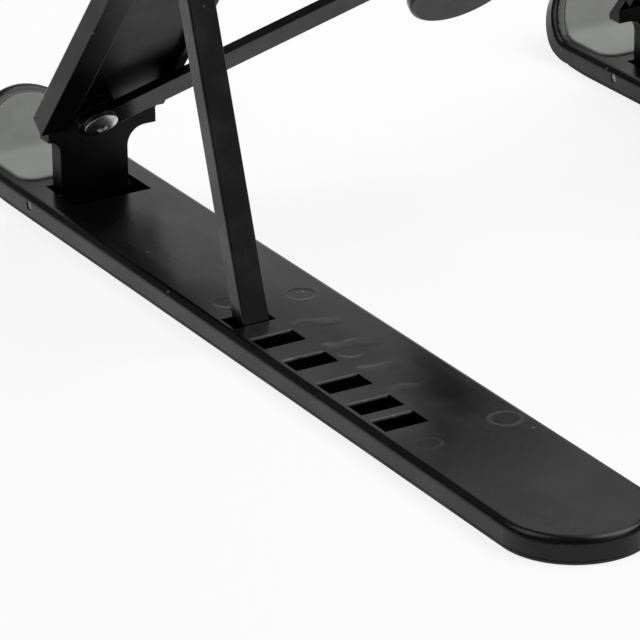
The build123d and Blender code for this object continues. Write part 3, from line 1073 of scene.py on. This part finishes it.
@dataclass
class Prop:
    """A prop strut."""

    side: Side

    def build(self) -> None:
        """Dress the strut."""
        dress(f"{self.side.word}_strut", PROP_FINISH)


class Scissor:
    """The two cross links with their rivets and sliding shoes."""

    def build(self) -> None:
        """Dress the links, their rivets and shoes."""
        for side in Side:
            dress(f"{side.word}_cross_link", LINK_FINISH)
            dress(f"{side.word}_slide_shoe", SHOE_FINISH)
            dress(f"{side.word}_slide_rivet", STEEL_FINISH)
        dress("cross_rivet", STEEL_FINISH)


@dataclass(frozen=True)
class Lamp:
    """A soft square lamp: its place and side in metres, its power in watts."""

    name: str
    place: Triple
    size: float
    power: float

    def hang(self, aim: Triple) -> None:
        """Hang the lamp so that it faces a point.

        Args:
            aim: the point.
        """
        light = bpy.data.lights.new(self.name, "AREA")
        light.shape = "SQUARE"
        light.size = self.size
        light.energy = self.power
        lamp = bpy.data.objects.new(self.name, light)
        lamp.location = self.place
        lamp.rotation_mode = "QUATERNION"
        lamp.rotation_quaternion = (Vector(aim) - Vector(self.place)).to_track_quat("-Z", "Y")
        bpy.context.scene.collection.objects.link(lamp)


@dataclass
class Studio:
    """Pale floor, soft lights and the camera; metres."""

    floor_half: float = 60.0
    floor_level: float = -0.00005
    card_front: float = 0.74
    card_rear: float = 0.92
    card_fade: Pair = (-0.02, 0.16)
    paper_tone: float = 0.95
    paper_glow: float = 0.84
    seen_by: tuple[str, str, str] = ("Camera", "Glossy", "Transmission")
    sky: float = 0.15
    aim: Triple = (0.0, 0.0, 0.05)
    lamps: tuple[Lamp, ...] = (
        Lamp("key_lamp", (-0.58, 0.28, 1.05), 0.85, 9.5),
        Lamp("fill_lamp", (0.65, -0.35, 1.1), 0.8, 3.8),
        Lamp("top_panel", (-0.62, -0.3, 1.15), 0.75, 2.4),
        Lamp("front_panel", (-0.92, -1.6, 0.78), 1.6, 4.8),
        Lamp("rear_panel", (-0.9, 1.75, 0.35), 1.2, 1.1),
        Lamp("high_panel", (-0.8, 1.3, 1.15), 0.9, 2.0),
    )
    target: Triple = (0.05958, -0.00322, 0.0)
    distance: float = 0.8247
    azimuth: float = 150.013
    elevation: float = 22.964
    roll: float = 0.749
    lens: float = 246.42
    sensor: float = 36.0
    shift: Pair = (-0.00272, -0.00417)
    clip: Pair = (0.05, 200.0)

    def floor_material(self) -> bpy.types.Material:
        """White paper that keeps its shadows, as seen or mirrored; its bounced light is that of a card.

        Returns:
            The material.
        """
        material = bpy.data.materials.new("floor_paper")
        material.use_nodes = True
        graph = Graph(material.node_tree)
        rays = [graph.add("ShaderNodeLightPath", output=f"Is {kind} Ray") for kind in self.seen_by]
        seen = rays[0].at_least(rays[1]).at_least(rays[2])
        rearward = graph.axes(graph.place())[1].step(*self.card_fade)
        front = graph.add("ShaderNodeBsdfDiffuse", inputs={"Color": shade(self.card_front)})
        rear = graph.add("ShaderNodeBsdfDiffuse", inputs={"Color": shade(self.card_rear)})
        card = graph.add("ShaderNodeMixShader", inputs={0: rearward, 1: front, 2: rear})
        paper = graph.add("ShaderNodeBsdfDiffuse", inputs={"Color": shade(self.paper_tone)})
        glow = graph.add("ShaderNodeEmission", inputs={"Color": shade(1.0), "Strength": 1.0})
        white = graph.add("ShaderNodeMixShader", inputs={0: self.paper_glow, 1: paper, 2: glow})
        mixed = graph.add("ShaderNodeMixShader", inputs={0: seen, 1: card, 2: white})
        graph.add("ShaderNodeOutputMaterial", inputs={"Surface": mixed})
        return material

    def floor(self) -> None:
        """Lay the floor, just under the stand."""
        half = self.floor_half
        corners = np.array([[-half, -half], [half, -half], [half, half], [-half, half]])
        points = np.column_stack([corners, np.full(4, self.floor_level)])
        mesh = bpy.data.meshes.new("floor")
        mesh.from_pydata(points.tolist(), [], [(0, 1, 2, 3)])
        mesh.materials.append(self.floor_material())
        floor = bpy.data.objects.new("floor", mesh)
        bpy.context.scene.collection.objects.link(floor)

    def light(self) -> None:
        """Dim even sky, a wide key lamp overhead, a fill and four panels that the faces and edges mirror."""
        world = bpy.data.worlds.new("studio")
        world.use_nodes = True
        graph = Graph(world.node_tree)
        sky = graph.add("ShaderNodeBackground", inputs={"Color": shade(1.0), "Strength": self.sky})
        graph.add("ShaderNodeOutputWorld", inputs={"Surface": sky})
        bpy.context.scene.world = world
        for lamp in self.lamps:
            lamp.hang(self.aim)

    def camera(self) -> None:
        """Set the camera where the photograph was taken from."""
        azimuth, elevation, roll = (math.radians(a) for a in (self.azimuth, self.elevation, self.roll))
        level = math.cos(elevation)
        back = Vector((math.sin(azimuth) * level, -math.cos(azimuth) * level, math.sin(elevation)))
        right = (-back).cross(Vector((0, 0, 1))).normalized()
        up = back.cross(right)
        across = math.cos(roll) * right - math.sin(roll) * up
        upward = math.sin(roll) * right + math.cos(roll) * up
        data = bpy.data.cameras.new("camera")
        data.lens = self.lens
        data.sensor_width = self.sensor
        data.shift_x, data.shift_y = self.shift
        data.clip_start, data.clip_end = self.clip
        camera = bpy.data.objects.new("camera", data)
        turn = Matrix((across, upward, back)).transposed().to_4x4()
        camera.matrix_world = Matrix.Translation(Vector(self.target) + self.distance * back) @ turn
        bpy.context.scene.collection.objects.link(camera)
        bpy.context.scene.camera = camera

    def build(self) -> None:
        """Make the floor, the lights and the camera."""
        self.floor()
        self.light()
        self.camera()
        bpy.context.scene.view_settings.view_transform = "Standard"


def main() -> None:
    """Build and dress the stand, then its studio."""
    logging.basicConfig(level=logging.INFO, format="%(name)s: %(message)s")
    for side in Side:
        BaseRail(side).build()
        ArmUnit(side).build()
        Prop(side).build()
    Scissor().build()
    Studio().build()


if __name__ == "__main__":
    main()
